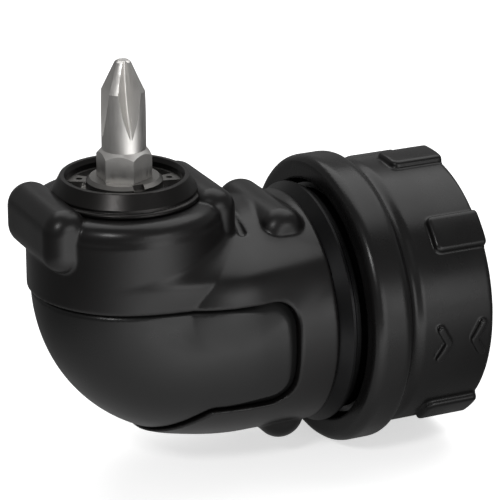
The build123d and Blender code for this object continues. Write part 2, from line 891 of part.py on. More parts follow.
def release_collar():
    """Twist collar: flange, waist, grip pads, two raised chevrons and the lock ball scoops."""
    front = collar_front_x
    flange_end = front + flange_width
    bore = sleeve_radius + running_gap
    snap_room = snap_ring_x - snap_ring_thickness / 2 - snap_ring_room
    body = turned_x(
        [
            (front, spring_room_radius, inner_edge),
            (front, flange_radius, flange_edge),
            (flange_end, flange_radius, flange_edge),
            (flange_end + waist_run, waist_radius, waist_round),
            (grip_start_x, grip_radius, grip_round),
            (collar_rear_x, grip_radius, collar_edge),
            (collar_rear_x, skirt_radius, 0),
            (snap_room, skirt_radius, 0),
            (snap_room, bore, 0),
            (spring_room_end_x, bore, 0),
            (spring_room_end_x, spring_room_radius, inner_edge),
        ]
    )
    for angle in pad_angles:
        body += grip_pad(angle)
    for angle in lock_ball_angles:
        body -= ball_scoop(angle)
    for place, way in zip(mark_x, (1, -1)):
        body += chevron(place, way)
    return body


def grip_pad(angle):
    """Raised pad along the collar, round-edged, that runs out at the rear edge."""
    outer = grip_radius + pad_height
    width = 2 * grip_radius * math.sin(math.radians(pad_half_angle))
    start = collar_rear_x - pad_length
    root = grip_radius - pad_root
    ring = turned_x(
        [
            (start, root, 0),
            (start, outer, pad_edge),
            (collar_rear_x, outer, pad_edge),
            (collar_rear_x, root, 0),
        ]
    )
    length = pad_length + 2 * pad_corner
    outline = Pos(start + length / 2, 0) * RectangleRounded(length, width, pad_corner)
    column = Rot(angle, 0, 0) * Pos(0, 0, grip_radius / 2) * extrude(outline, grip_radius)
    return ring & column


def ball_scoop(angle):
    """Pocket that lets a lock ball move out when the collar is turned."""
    half = lock_ball_radius + scoop_gap
    reach = sleeve_radius + lock_travel + scoop_gap - scoop_radius
    scoop = rod_x(scoop_radius, lock_ball_x - half, lock_ball_x + half, 0, reach)
    return Rot(angle - release_angle, 0, 0) * scoop


def chevron(tip_x, way):
    """Raised chevron on the collar, its point towards +X or -X."""
    half = math.radians(mark_half_angle)
    end_x = tip_x - way * mark_arm * math.cos(half)
    end_y = mark_arm * math.sin(half)
    back = way * mark_stroke / math.sin(half)
    stroke = rounded_face(
        [
            (tip_x, 0, mark_point_round),
            (end_x, end_y, mark_end_round),
            (end_x - back, end_y, mark_end_round),
            (tip_x - back, 0, 0),
            (end_x - back, -end_y, mark_end_round),
            (end_x, -end_y, mark_end_round),
        ],
        Plane.XY,
    )
    root = grip_radius - mark_root
    column = Rot(mark_angle, 0, 0) * Pos(0, 0, root) * extrude(stroke, mark_root + 2 * mark_height)
    return column & rod_x(grip_radius + mark_height, collar_front_x, collar_rear_x)


def lock_ball(angle):
    """One lock ball, held flush with the outside of the sleeve."""
    reach = sleeve_radius - lock_ball_radius
    return Rot(angle, 0, 0) * Pos(lock_ball_x, 0, reach) * Sphere(lock_ball_radius)


def collar_spring():
    """Flat wire torsion spring that turns the collar back."""
    height = spring_pitch * spring_turns
    path = Helix(spring_pitch, height, spring_coil_radius)
    start = Plane(origin=path @ 0, z_dir=path % 0)
    coil = sweep(start * Rectangle(*spring_wire), path)
    return Pos(spring_start_x, 0, 0) * Rot(0, 90, 0) * coil


def snap_ring():
    """Open ring that keeps the collar on the sleeve."""
    low = snap_ring_x - snap_ring_thickness / 2
    high = low + snap_ring_thickness
    ring = rod_x(snap_ring_radius, low, high) - rod_x(snap_ring_groove, low, high)
    mouth = Box(snap_ring_thickness, snap_ring_mouth, snap_ring_mouth)
    return ring - Rot(snap_ring_opening, 0, 0) * Pos(snap_ring_x, 0, snap_ring_radius) * mouth


def save(name, shape):
    """Write one sub-part to its own file."""
    shape.label = name
    export_step(shape, f"parts/{name}.step")
    print(name, len(shape.solids()), round(shape.volume, 2))


def main():
    """Build every sub-part and write it."""
    os.makedirs("parts", exist_ok=True)
    cover, guard, core = housing_layers()
    left, right = gear_case_halves(core)
    save("rubber_cover", cover)
    save("elbow_guard", guard)
    save("gear_case_left", left)
    save("gear_case_right", right)
    save("case_screws", case_screws())
    save("nose_sleeve", nose_sleeve())
    save("retaining_ring", retaining_ring())
    low = spindle_bearing_top - spindle_bearing_width
    outer, inner = bearing_rings(
        spindle_bearing_bore, spindle_bearing_radius, spindle_ball_radius,
        low, spindle_bearing_top, "z",
    )
    save("spindle_bearing_outer_ring", outer)
    save("spindle_bearing_inner_ring", inner)
    track = (spindle_bearing_bore + spindle_bearing_radius) / 2
    place = Pos(head_x, 0, spindle_bearing_top - spindle_bearing_width / 2)
    save("spindle_bearing_balls", ball_set(spindle_ball_count, track, spindle_ball_radius, place))
    save("spindle_bearing_seal", spindle_seal())
    save("spindle_bush", plain_bush(stub_radius + running_gap, bush_wall - running_gap,
                                    bush_top_z - bush_length, bush_top_z))
    save("spindle", spindle())
    save("output_gear", output_gear())
    save("bit_magnet", bit_magnet())
    save("screwdriver_bit", screwdriver_bit())
    start = head_x + shaft_bearing_front
    outer, inner = bearing_rings(
        shaft_bearing_bore, shaft_bearing_radius, shaft_ball_radius,
        start, start + shaft_bearing_width, "x",
    )
    save("shaft_bearing_outer_ring", outer)
    save("shaft_bearing_inner_ring", inner)
    track = (shaft_bearing_bore + shaft_bearing_radius) / 2
    place = Pos(start + shaft_bearing_width / 2, 0, 0) * Rot(0, 90, 0)
    save("shaft_bearing_balls", ball_set(shaft_ball_count, track, shaft_ball_radius, place))
    save("drive_shaft", drive_shaft())
    save("pinion", pinion())
    save("shaft_clip", shaft_clip())
    save("rear_bush", rear_bush())
    save("mounting_sleeve", mounting_sleeve())
    save("sleeve_screws", sleeve_screws())
    save("front_ring", front_ring())
    save("release_collar", release_collar())
    for number, angle in enumerate(lock_ball_angles, start=1):
        save(f"lock_ball_{number}", lock_ball(angle))
    save("collar_spring", collar_spring())
    save("collar_snap_ring", snap_ring())


main()
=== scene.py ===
# %% [markdown]
# # A right angle drill attachment
# This head fits on the nose of a compact drill and turns its drive through a right angle.
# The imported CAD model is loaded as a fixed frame. The rubber cover, the guard and the collar
# are then modelled again as soft moulded forms, and every other piece gets its real finish.

# %% Load the frame
import json
import math

import bpy
import numpy as np
from mathutils import Matrix, Vector


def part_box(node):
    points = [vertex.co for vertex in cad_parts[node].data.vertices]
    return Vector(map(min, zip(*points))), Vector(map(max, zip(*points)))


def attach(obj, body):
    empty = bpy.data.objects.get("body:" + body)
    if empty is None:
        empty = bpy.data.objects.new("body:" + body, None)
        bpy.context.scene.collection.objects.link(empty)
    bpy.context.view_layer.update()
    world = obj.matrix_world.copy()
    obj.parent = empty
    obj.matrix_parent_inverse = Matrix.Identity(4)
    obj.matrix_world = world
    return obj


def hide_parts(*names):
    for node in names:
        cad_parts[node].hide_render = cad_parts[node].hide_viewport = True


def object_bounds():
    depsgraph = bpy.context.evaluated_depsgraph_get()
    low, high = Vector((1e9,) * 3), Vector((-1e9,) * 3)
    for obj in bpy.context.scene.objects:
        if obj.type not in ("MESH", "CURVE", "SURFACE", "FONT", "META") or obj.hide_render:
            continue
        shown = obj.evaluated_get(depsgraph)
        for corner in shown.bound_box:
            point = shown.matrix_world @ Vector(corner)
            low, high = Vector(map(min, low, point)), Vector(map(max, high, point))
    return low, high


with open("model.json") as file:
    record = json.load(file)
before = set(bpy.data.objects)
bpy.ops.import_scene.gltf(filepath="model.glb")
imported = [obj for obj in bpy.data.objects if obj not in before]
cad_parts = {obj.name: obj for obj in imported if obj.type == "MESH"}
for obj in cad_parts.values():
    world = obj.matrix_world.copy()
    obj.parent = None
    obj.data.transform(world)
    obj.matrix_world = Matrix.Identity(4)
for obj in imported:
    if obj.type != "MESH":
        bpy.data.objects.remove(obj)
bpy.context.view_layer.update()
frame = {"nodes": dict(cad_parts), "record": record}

MM = 0.001

# %% [markdown]
# ## The main axes
# Everything is measured from two axes: the drive axis, which is X, and the spindle axis, which
# stands along Z. The bit turns about the spindle axis, so the middle of its box gives its place.

# %% Find the spindle axis
lip_below_bearing = 0.9       # from the top of the bearing's outer ring down to the cover's lip
bit_low, bit_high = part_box("screwdriver_bit")
head_x = (bit_low.x + bit_high.x) / 2 / MM
neck_end_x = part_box("mounting_sleeve")[0].x / MM - head_x
lip_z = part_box("spindle_bearing_outer_ring")[1].z / MM - lip_below_bearing
print("spindle axis at x =", round(head_x, 2), "mm; neck ends", round(neck_end_x, 2), "mm behind it")

# %% [markdown]
# ## The camera
# The picture is taken with a long lens, from a little above and from the left of the head. A long
# lens shows near and far parts at almost the same size, which suits a small product. The place
# is in metres and the angles are in degrees.

# %% Place the camera
camera_place = (-0.18252, -0.32704, 0.14241)
camera_azimuth = -25.373
camera_height_angle = 20.306
camera_lens = 208.28          # millimetres, on a sensor this wide
camera_sensor = 36.0

camera_data = bpy.data.cameras.new("camera")
camera_data.lens = camera_lens
camera_data.sensor_width = camera_sensor
camera_data.clip_start = 0.01
camera_data.clip_end = 20.0
camera = bpy.data.objects.new("camera", camera_data)
bpy.context.scene.collection.objects.link(camera)
turn = Matrix.Rotation(math.radians(camera_azimuth), 4, "Z")
tilt = Matrix.Rotation(math.radians(90 - camera_height_angle), 4, "X")
camera.matrix_world = Matrix.Translation(camera_place) @ turn @ tilt
bpy.context.scene.camera = camera
bpy.context.scene.view_settings.view_transform = "Standard"
print("camera at", [round(v, 3) for v in camera.matrix_world.translation])

# %% [markdown]
# ## Nodes for materials
# A finish is a small tree of shader nodes. One function adds a node and joins it up, and another
# turns the hex colours that people use on screens into the linear values that light works in.

# %% Helpers for materials
def linear(hex_colour):
    """A colour such as "#0d0c0c" as linear red, green, blue and alpha."""
    parts = [int(hex_colour[i:i + 2], 16) / 255 for i in (1, 3, 5)]
    return tuple(p / 12.92 if p <= 0.04045 else ((p + 0.055) / 1.055) ** 2.4 for p in parts) + (1.0,)


def add_node(tree, kind, settings=None, **links):
    """Add one shader node. A link is a value, or another node's output."""
    node = tree.nodes.new(kind)
    for name, value in (settings or {}).items():
        setattr(node, name, value)
    for name, value in links.items():
        socket = node.inputs[int(name[1:])] if name[1:].isdigit() else node.inputs[name.replace("_", " ")]
        if isinstance(value, bpy.types.NodeSocket):
            tree.links.new(value, socket)
        else:
            socket.default_value = value
    return node


def new_material(name):
    """An empty material with its output node."""
    material = bpy.data.materials.new(name)
    material.use_nodes = True
    tree = material.node_tree
    tree.nodes.clear()
    return material, tree, tree.nodes.new("ShaderNodeOutputMaterial")


def per_metre(millimetres):
    """Noise scale that gives spots of about this size in millimetres."""
    return 1.0 / (millimetres * MM)


print("darkest black of the cover is", [round(v, 4) for v in linear("#0d0c0c")[:3]])

# %% [markdown]
# ## Moulded black surfaces
# The cover is a thermoplastic rubber moulded over the gear case. The guard and the collar are
# glass filled nylon. Both come out of a spark eroded mould, so the skin has a fine grain that
# softens the gloss, with faint flow clouds in it. The clouds change colour and gloss together,
# which also gives the uneven shine of parts that have been handled.

# %% Moulded materials
def moulded(name, dark, light, roughness, specular, grain_mm, grain_depth, cloud_mm):
    """Dark moulded plastic or rubber: clouded colour, varied gloss and a fine grain."""
    material, tree, out = new_material(name)
    place = add_node(tree, "ShaderNodeTexCoord").outputs["Object"]
    cloud = add_node(tree, "ShaderNodeTexNoise", Vector=place, Scale=per_metre(cloud_mm), Detail=4.0)
    grain = add_node(tree, "ShaderNodeTexNoise", Vector=place, Scale=per_metre(grain_mm), Detail=3.0)
    colour = add_node(tree, "ShaderNodeMix", {"data_type": "RGBA"}, i0=cloud.outputs["Fac"],
                      i6=linear(dark), i7=linear(light))
    gloss = add_node(tree, "ShaderNodeMapRange", Value=cloud.outputs["Fac"], From_Min=0.3,
                     From_Max=0.7, To_Min=roughness - 0.04, To_Max=roughness + 0.05)
    bump = add_node(tree, "ShaderNodeBump", Strength=0.35, Distance=grain_depth * MM,
                    Height=grain.outputs["Fac"])
    shader = add_node(tree, "ShaderNodeBsdfPrincipled", Base_Color=colour.outputs["Result"],
                      Roughness=gloss.outputs["Result"], Normal=bump.outputs["Normal"])
    shader.inputs["Specular IOR Level"].default_value = specular
    tree.links.new(shader.outputs["BSDF"], out.inputs["Surface"])
    return material


# The last three numbers are the grain's size, its depth and the clouds' size, in millimetres.
# The real grain is some hundredths of a millimetre wide. It is drawn coarser, so that it shows.
# Rubber has a soft, broad sheen.
cover_rubber = moulded("thermoplastic_rubber_moulded", "#0d0c0c", "#121111", 0.32, 0.30, 0.35, 0.02, 6.0)
# Nylon is harder, and its sheen a little sharper, most of all on the collar.
guard_nylon = moulded("glass_filled_nylon_guard", "#0f0f0f", "#131313", 0.31, 0.30, 0.30, 0.015, 5.0)
collar_nylon = moulded("glass_filled_nylon_collar", "#0d0d0d", "#111010", 0.28, 0.30, 0.30, 0.015, 5.0)
# The bearing seal is nearly matt.
seal_rubber = moulded("nitrile_rubber_seal", "#0c0c0c", "#121111", 0.55, 0.30, 0.25, 0.01, 3.0)
print("moulded finishes:", [m.name for m in (cover_rubber, guard_nylon, collar_nylon, seal_rubber)])

# %% [markdown]
# ## Machined and plated metal
# Turned steel carries fine rings round its axis, ground steel fine scratches, and a cast part a
# coarse skin. A metal shows what it mirrors, so its roughness and these marks do most of the
# work. Squeezing the noise along an axis turns its spots into lines across that axis: along Z it
# gives rings round the spindle, along X rings round the drive shaft.

# %% Metal materials
stain_mm = 4.0                # size of the faint stains in a metal's colour


def metal(name, dark, light, roughness, mark_mm, squeeze, depth):
    """Metal with marks of a given size and depth in millimetres, squeezed along X, Y and Z."""
    material, tree, out = new_material(name)
    place = add_node(tree, "ShaderNodeTexCoord").outputs["Object"]
    squeezed = add_node(tree, "ShaderNodeMapping", Vector=place, Scale=squeeze)
    marks = add_node(tree, "ShaderNodeTexNoise", Vector=squeezed.outputs["Vector"],
                     Scale=per_metre(mark_mm), Detail=4.0)
    cloud = add_node(tree, "ShaderNodeTexNoise", Vector=place, Scale=per_metre(stain_mm), Detail=3.0)
    colour = add_node(tree, "ShaderNodeMix", {"data_type": "RGBA"}, i0=cloud.outputs["Fac"],
                      i6=linear(dark), i7=linear(light))
    gloss = add_node(tree, "ShaderNodeMapRange", Value=marks.outputs["Fac"], From_Min=0.3,
                     From_Max=0.7, To_Min=roughness - 0.05, To_Max=roughness + 0.08)
    bump = add_node(tree, "ShaderNodeBump", Strength=0.3, Distance=depth * MM,
                    Height=marks.outputs["Fac"])
    shader = add_node(tree, "ShaderNodeBsdfPrincipled", Base_Color=colour.outputs["Result"],
                      Metallic=1.0, Roughness=gloss.outputs["Result"], Normal=bump.outputs["Normal"])
    tree.links.new(shader.outputs["BSDF"], out.inputs["Surface"])
    return material


# After the roughness come the marks' size in millimetres, the squeeze, and their depth. Real
# turning and grinding marks are finer, and are drawn coarser here, so that they show.
# The bit is hardened and blasted: a light, slightly milky grey, with marks along the flutes.
bit_steel = metal("hardened_bit_steel", "#c9c7c4", "#dbd9d6", 0.40, 0.25, (1, 1, 0.15), 0.01)
# Black oxide is a thin dark film: the steel keeps its sheen, only darker.
black_steel = metal("black_oxide_turned_steel", "#2b2a2a", "#353433", 0.34, 0.20, (1, 1, 6), 0.01)
sleeve_steel = metal("black_oxide_sleeve_steel", "#1d1d1e", "#272727", 0.36, 0.20, (6, 1, 1), 0.01)
# Phosphate leaves a mid grey that is a little dull.
spindle_steel = metal("phosphated_spindle_steel", "#6a6967", "#7d7b78", 0.38, 0.20, (1, 1, 4), 0.01)
# Ground bearing rings and balls are the smoothest steel here.
bearing_steel = metal("ground_bearing_steel", "#b8b8b8", "#c8c7c6", 0.22, 0.15, (4, 1, 1), 0.005)
# Hardening leaves the gears a dull grey, and bluing leaves the springs a cool one.
gear_steel = metal("case_hardened_gear_steel", "#7a7876", "#8f8d8a", 0.35, 0.25, (1, 1, 1), 0.01)
spring_steel = metal("blued_spring_steel", "#6f6f70", "#868686", 0.30, 0.15, (4, 1, 1), 0.006)
# Zinc on the screws is bright and slightly blue.
zinc_plate = metal("zinc_plated_screw_steel", "#b9bcc0", "#cccfd2", 0.28, 0.30, (1, 1, 1), 0.008)
# The sintered bush is warm in colour, and its pores take away the gloss.
bush_bronze = metal("sintered_bronze", "#9c7446", "#b58a58", 0.42, 0.25, (1, 1, 1), 0.03)
# Nickel on the magnet is bright and slightly yellow.
magnet_nickel = metal("nickel_plated_magnet", "#bdb9b2", "#cfcbc4", 0.25, 0.30, (1, 1, 1), 0.006)
# A thin black paint lets some of the casting's metal sheen through, over a coarse skin.
cast_alloy = metal("black_painted_die_casting", "#2a2a2b", "#343435", 0.50, 0.50, (1, 1, 1), 0.03)

finishes = {
    "cast_alloy": cast_alloy, "black_steel": black_steel, "bearing_steel": bearing_steel,
    "gear_steel": gear_steel, "bit_steel": bit_steel, "bush_bronze": bush_bronze,
    "magnet_nickel": magnet_nickel, "screw_zinc": zinc_plate, "spring_steel": spring_steel,
    "seal_rubber": seal_rubber, "cover_rubber": cover_rubber, "guard_nylon": guard_nylon,
    "collar_nylon": collar_nylon,
}
own_finish = {
    "spindle": spindle_steel, "retaining_ring": spindle_steel, "mounting_sleeve": sleeve_steel,
    "front_ring": sleeve_steel,
}
slot_of = {entry["node"]: entry["material_slot"] for entry in frame["record"]["subparts"]}
for name, node in frame["nodes"].items():
    node.data.materials.clear()
    node.data.materials.append(own_finish.get(name, finishes[slot_of[name]]))
print(len(frame["nodes"]), "CAD pieces have their finish")

# %% [markdown]
# ## Forms as distance fields
# A moulded part has no sharp joins: head, neck and screw bosses run into one another. A distance
# field gives every point its distance to a form, negative inside. Two fields are joined with a
# soft fillet by blending them where they are nearly equal, as a rounded corner in the mould does.
# All fields work in millimetres.

# %% Blending fields
FILLET_SHARE = 0.85     # radius of the round that a blend of width one gives


def blend(a, b, radius):
    """Two forms as one, with a fillet of about this radius in the corner between them."""
    width = radius / FILLET_SHARE
    near = np.maximum(width - np.abs(a - b), 0.0)
    return np.minimum(a, b) - near * near / (4 * width)


def common(a, b, radius):
    """Where two forms overlap, with its edge rounded."""
    return -blend(-a, -b, radius)


def ramp(value, low, high):
    """Smooth step from 0 at low to 1 at high."""
    t = np.clip((value - low) / (high - low), 0.0, 1.0)
    return t * t * (3 - 2 * t)


def round_box(offsets, halves, radius):
    """Distance to a box of these half sizes whose edges are rounded."""
    apart = [np.abs(o) - h + radius for o, h in zip(offsets, halves)]
    outside = np.sqrt(sum(np.maximum(a, 0.0) ** 2 for a in apart))
    inside = np.minimum(np.maximum.reduce(np.broadcast_arrays(*apart)), 0.0)
    return outside + inside - radius


def round_cone(x, y, z, start, end, radius_a, radius_b):
    """Distance to a stick with round ends that tapers from one point to the other."""
    along = np.subtract(end, start)
    t = ((x - start[0]) * along[0] + (y - start[1]) * along[1] + (z - start[2]) * along[2])
    t = np.clip(t / np.dot(along, along), 0.0, 1.0)
    gap = [v - s - t * a for v, s, a in zip((x, y, z), start, along)]
    return np.sqrt(gap[0] ** 2 + gap[1] ** 2 + gap[2] ** 2) - (radius_a + t * (radius_b - radius_a))


def outline_distance(x, z, points):
    """Distance in a plane to a closed outline of straight sides, negative inside."""
    nearest = np.full(np.broadcast(x, z).shape, 1e9, dtype=np.float32)
    crossings = np.zeros(nearest.shape, dtype=bool)
    for (ax, az), (bx, bz) in zip(points, points[1:] + points[:1]):
        ex, ez = bx - ax, bz - az
        t = np.clip(((x - ax) * ex + (z - az) * ez) / (ex * ex + ez * ez), 0.0, 1.0)
        nearest = np.minimum(nearest, np.hypot(x - ax - t * ex, z - az - t * ez))
        if az != bz:
            over = (az <= z) != (bz <= z)
            crossings ^= over & (x < ax + (z - az) / (bz - az) * ex)
    return np.where(crossings, -nearest, nearest)


print("a blend of two equal fields at 0 gives", round(float(blend(0.0, 0.0, 1.0)), 3), "mm")

# %% [markdown]
# ## From a field to a mesh
# The field is sampled on a grid of small cells. Each cell that the surface passes through gets
# one point, and each grid edge that it crosses gets one four-sided face: a surface net. The
# points then slide along the surface to even out, and onto it exactly.

# %% The surface net
def field_net(field, low, high, step):
    """Points and four-sided faces where a field is zero, in millimetres."""
    axes = [np.arange(a, b + step, step, dtype=np.float32) for a, b in zip(low, high)]
    grid = np.meshgrid(*axes, indexing="ij", sparse=True)
    value = np.ascontiguousarray(np.broadcast_to(field(*grid), [len(a) for a in axes]))
    inside = value < 0
    size = [n - 1 for n in value.shape]
    corners = [(i, j, k) for i in (0, 1) for j in (0, 1) for k in (0, 1)]

    def shifted(array, corner):
        """The array as each cell sees it at one of its corners."""
        return array[tuple(slice(c, c + n) for c, n in zip(corner, size))]

    count = sum(shifted(inside, c).astype(np.int8) for c in corners)
    cells = np.argwhere((count > 0) & (count < 8))
    number = np.full(size, -1, dtype=np.int32)
    number[tuple(cells.T)] = np.arange(len(cells))
    values = np.stack([shifted(value, c)[tuple(cells.T)] for c in corners], axis=1)
    total = np.zeros((len(cells), 3))
    hits = np.zeros((len(cells), 1))
    for a, first in enumerate(corners):
        for b, second in enumerate(corners):
            if b > a and sum(abs(p - q) for p, q in zip(first, second)) == 1:
                crossed = (values[:, a] < 0) != (values[:, b] < 0)
                share = values[:, a] / np.where(crossed, values[:, a] - values[:, b], 1.0)
                spot = np.array(first) + share[:, None] * np.subtract(second, first)
                total += np.where(crossed[:, None], spot, 0.0)
                hits += crossed[:, None]
    points = np.array(low) + (cells + total / hits) * step
    faces = []
    for axis in range(3):
        u, v = (axis + 1) % 3, (axis + 2) % 3
        ahead = np.take(inside, range(1, inside.shape[axis]), axis)
        here = np.take(inside, range(inside.shape[axis] - 1), axis)
        edge = np.argwhere(ahead != here)
        keep = (edge[:, u] > 0) & (edge[:, v] > 0) & (edge[:, u] < size[u]) & (edge[:, v] < size[v])
        edge = edge[keep]
        step_u, step_v = np.eye(3, dtype=int)[u], np.eye(3, dtype=int)[v]
        ring = [edge - step_u - step_v, edge - step_v, edge, edge - step_u]
        quads = np.stack([number[tuple(r.T)] for r in ring], axis=1)
        outward = here[tuple(edge.T)]
        faces.append(np.where(outward[:, None], quads, quads[:, ::-1]))
    return points, np.concatenate(faces)


def onto_surface(points, field, rounds):
    """Move each point onto the field's surface along the steepest way."""
    reach = 0.02              # for measuring the slope
    least_steep = 0.05
    longest_move = 0.3
    for _ in range(rounds):
        value = field(*points.T)
        slope = np.empty_like(points)
        for axis in range(3):
            side = np.zeros(3)
            side[axis] = reach
            slope[:, axis] = (field(*(points + side).T) - field(*(points - side).T)) / (2 * reach)
        steep = np.maximum((slope ** 2).sum(axis=1), least_steep)
        move = np.clip(value / steep, -longest_move, longest_move)
        points = points - move[:, None] * slope
    return points


def even_out(points, faces, field, rounds):
    """Slide points towards the middle of their neighbours, and back onto the surface."""
    ends = np.concatenate([faces[:, [0, 1]], faces[:, [1, 2]], faces[:, [2, 3]], faces[:, [3, 0]]])
    one, two = ends.T
    near = np.bincount(one, minlength=len(points)) + np.bincount(two, minlength=len(points))
    for _ in range(rounds):
        sums = []
        for column in points.T:
            ahead = np.bincount(one, column[two], len(points))
            behind = np.bincount(two, column[one], len(points))
            sums.append(ahead + behind)
        middle = np.stack(sums, axis=1) / near[:, None]
        points = onto_surface(points + 0.5 * (middle - points), field, 1)
    return points


def moulded_piece(name, field, low, high, step, material, rounds=4):
    """A smooth shaded object from a field given in millimetres."""
    points, faces = field_net(field, low, high, step)
    points = onto_surface(points, field, 2)
    points = even_out(points, faces, field, rounds)
    mesh = bpy.data.meshes.new(name)
    mesh.vertices.add(len(points))
    mesh.vertices.foreach_set("co", (points * MM).astype(np.float32).ravel())
    mesh.loops.add(faces.size)
    mesh.loops.foreach_set("vertex_index", faces.astype(np.int32).ravel())
    mesh.polygons.add(len(faces))
    mesh.polygons.foreach_set("loop_start", np.arange(0, faces.size, 4, dtype=np.int32))
    mesh.update(calc_edges=True)
    mesh.validate()
    mesh.polygons.foreach_set("use_smooth", np.ones(len(mesh.polygons), dtype=bool))
    mesh.materials.append(material)
    piece = bpy.data.objects.new(name, mesh)
    bpy.context.scene.collection.objects.link(piece)
    print(name, "has", len(faces), "faces")
    return piece


# %% [markdown]
# ## The form of the housing
# Head and elbow are one bent bar of round section: a ball rolls down the spindle axis and round
# the bend, and grows on its way. The neck is a second bar along the drive axis. A fillet joins
# it to the head. It is narrow low on the sides, wide on the inside of the bend, and narrow
# again in the saddle on top.

# %% Head, elbow and neck
head_radius = 13.0
bend_radius = 8.0             # of the path that the ball's centre follows
bend_growth = 1.9             # what the ball gains on its way round the bend
neck_radius = 15.7
neck_start = 13.0             # where the neck has its full radius
seam_fillet = 1.2             # low on the sides
crook_fillet = 8.0            # on the inside of the bend
saddle_fillet = 2.5           # on top, between the head and the neck
crook_heights = (1.0, 11.0)   # between these, the first changes into the second
saddle_heights = (10.0, 14.5) # and between these, into the third
head_top = 16.5
head_top_edge = 0.5
bead_circle = 10.85           # radius of the circle that the bead's middle follows
bead_radius = 1.95
bead_z = 16.95
bead_fillet = 0.4
crown_foot = 12.0
crown_edge = 0.2


def bent_bar(x, y, z):
    """Head and elbow, as the track of the rolling ball."""
    drum = np.sqrt(x * x + np.minimum(z - bend_radius, 0.0) ** 2 + y * y) - head_radius
    last = head_radius + bend_growth
    far_end = np.sqrt((x - bend_radius) ** 2 + y * y + z * z) - last
    around = np.clip(np.arctan2(bend_radius - z, bend_radius - x), 0.0, math.pi / 2)
    ball = head_radius + bend_growth * ramp(around, 0.0, math.pi / 2)
    off_path = np.hypot(bend_radius - x, bend_radius - z) - bend_radius
    bend = np.sqrt(off_path ** 2 + y * y) - ball
    in_bend = (x < bend_radius) & (z < bend_radius)
    outside = np.minimum(drum, far_end)
    return np.where(in_bend, np.minimum(bend, outside), outside)


def neck_bar(x, y, z):
    """The neck, with a ball at its hidden end."""
    return np.sqrt(np.minimum(x - neck_start, 0.0) ** 2 + y * y + z * z) - neck_radius


def housing_form(x, y, z):
    """Head, elbow and neck with the bead round the nose, before the bosses."""
    crook = seam_fillet + (crook_fillet - seam_fillet) * ramp(z, *crook_heights)
    crook = crook + (saddle_fillet - crook) * ramp(z, *saddle_heights)
    radius = np.hypot(x, y)
    head = common(bent_bar(x, y, z), z - head_top, head_top_edge)
    body = blend(head, neck_bar(x, y, z), crook)
    bead = np.hypot(radius - bead_circle, z - bead_z) - bead_radius
    crown = np.maximum(common(radius - bead_circle, z - lip_z, crown_edge), crown_foot - z)
    return blend(body, np.minimum(bead, crown), bead_fillet)


print("housing form at the spindle axis, 10 mm up:", round(float(housing_form(0.0, 0.0, 10.0)), 2))

# %% [markdown]
# ## Screw bosses
# Four screws run across the case. The rubber covers each with a round-ended roll. Those on the
# head are drawn out downwards, so that the mould could open, and end in a rounded foot on the
# wall. Between the second one and the neck a narrow crevice is left.

# %% Rolls
# Place along X, height, radius, half length across the case, and draw.
head_bosses = ((-10.84, 17.4, 3.05, 8.2, 2.4), (9.9, 17.4, 2.95, 8.2, 2.4))
neck_bosses = ((19.4, 13.0, 3.3, 8.6, 0.0), (19.4, -13.0, 3.3, 8.6, 0.0))
roll_edge = 2.4               # rounding of a roll's ends
head_roll_fillet = 0.2
neck_roll_fillet = 0.3
crevice_start = (14.0, 1.5, 16.6)
crevice_end = (13.4, 7.3, 14.3)
crevice_radii = (0.3, 0.75)
crevice_edge = 0.15


def roll(x, y, z, place):
    """Round-ended roll across the case."""
    middle_x, middle_z, radius, half, draw = place
    upright = z - np.clip(z, middle_z - draw, middle_z)
    around = np.hypot(x - middle_x, upright) - radius + roll_edge
    along = np.abs(y) - half + roll_edge
    outside = np.hypot(np.maximum(around, 0.0), np.maximum(along, 0.0))
    return np.minimum(np.maximum(around, along), 0.0) + outside - roll_edge


def cover_form(x, y, z):
    """Outside of the whole cover."""
    form = housing_form(x, y, z)
    for place in neck_bosses:
        form = blend(form, roll(x, y, z, place), neck_roll_fillet)
    crevice = round_cone(x, np.abs(y), z, crevice_start, crevice_end, *crevice_radii)
    form = common(form, -crevice, crevice_edge)
    for place in head_bosses:
        form = blend(form, roll(x, y, z, place), head_roll_fillet)
    return form


print("boss rolls end", head_bosses[0][3], "and", neck_bosses[0][3], "mm from the middle")

# %% [markdown]
# ## The cover
# The cover is moulded over the gear case as a shell, open at the nose, at the rear and in its
# window, where the guard sits. It is modelled as a shell too, so that its edges are real.

# %% Rubber cover
cover_wall = 1.6
nose_opening_radius = 9.05
nose_opening_foot = 14.3
nose_edge = 0.2
rear_edge = 0.4
window_edge = 0.25
shell_step = 0.3       # cell size of the net for cover and guard
cover_net = ((-62.0, -17.2, -17.2), (-21.0, 17.2, 21.6))     # corners of the room that is sampled
window_corners = (            # along X from the spindle axis, height, corner radius
    (-22.0, 7.3, 0), (18.0, 6.7, 3.6), (18.0, -8.1, 3.6), (6.7, -8.1, 1.5),
    (0.5, -13.1, 0), (-2.5, -22.0, 0), (-22.0, -22.0, 0),
)


def rounded_outline(corners, pieces=6):
    """Points of an outline whose corners (across, up, radius) are rounded."""
    points = []
    for number, (px, pz, radius) in enumerate(corners):
        here = np.array([px, pz])
        before = np.array(corners[number - 1][:2]) - here
        after = np.array(corners[(number + 1) % len(corners)][:2]) - here
        before /= np.hypot(*before)
        after /= np.hypot(*after)
        half = math.acos(float(np.clip(np.dot(before, after), -1, 1))) / 2
        middle = (before + after) / np.hypot(*(before + after))
        centre = here + middle * radius / math.sin(half)
        start = here + before * radius / math.tan(half) - centre
        end = here + after * radius / math.tan(half) - centre
        if radius == 0:
            points.append((px, pz))
            continue
        first = math.atan2(start[1], start[0])
        sweep = (math.atan2(end[1], end[0]) - first + math.pi) % (2 * math.pi) - math.pi
        for share in np.linspace(0, 1, pieces + 1):
            angle = first + sweep * share
            spot = centre + radius * np.array([math.cos(angle), math.sin(angle)])
            points.append((float(spot[0]), float(spot[1])))
    return points


window_points = rounded_outline(window_corners)


